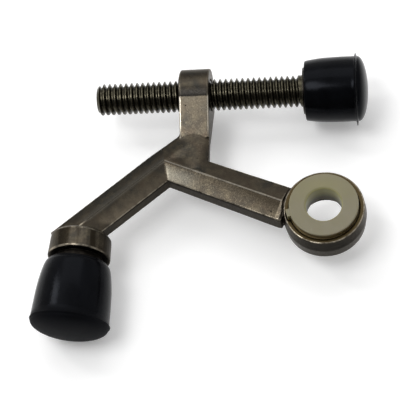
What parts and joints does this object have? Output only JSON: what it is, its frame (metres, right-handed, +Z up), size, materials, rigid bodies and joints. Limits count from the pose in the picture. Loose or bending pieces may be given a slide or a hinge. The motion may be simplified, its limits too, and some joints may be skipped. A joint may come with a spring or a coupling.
{
  "type": "door stop",
  "caption": "Hinge-pin door stop: Y-shaped metal casting with a nylon-bushed ring for the hinge pin, a threaded adjusting rod with a rubber cap, and a fixed rubber bumper.",
  "frame": {"origin": "centre of the hinge-pin hole at the mid-height of the ring", "axes": "+Z up along the hinge pin, +X along the adjusting rod towards its rubber cap, the fixed bumper points along -Y"},
  "size_m": [0.0816, 0.0737, 0.0205],
  "materials": {
    "antique_nickel": "worn antique plating on a die casting",
    "ivory_nylon": "moulded, satin",
    "dark_steel": "antique plated, rolled thread",
    "head_steel": "black oxide",
    "black_rubber": "moulded, satin"
  },
  "bodies": {
    "frame": {"arm_casting": "antique_nickel", "hinge_pin_bushing": "ivory_nylon", "bumper_stud": "head_steel", "bumper_cap": "black_rubber"},
    "tip": {"adjuster_cap": "black_rubber"},
    "screw": {"adjuster_rod": "dark_steel", "adjuster_head": "head_steel"}
  },
  "joints": [
    {"name": "adjuster_travel", "type": "slide", "parent": "frame", "child": "tip", "axis": [1, 0, 0], "range_m": [-0.0226, 0.0204]},
    {"name": "adjuster_turn", "type": "hinge", "parent": "tip", "child": "screw", "pos_m": [0, 0.0351, 0], "axis": [1, 0, 0], "range_deg": [-5764.7, 5203.4]}
  ],
  "couplings": [
    {"joint": "adjuster_travel", "follows": "adjuster_turn", "m_per_rad": 0.00022459}
  ]
}
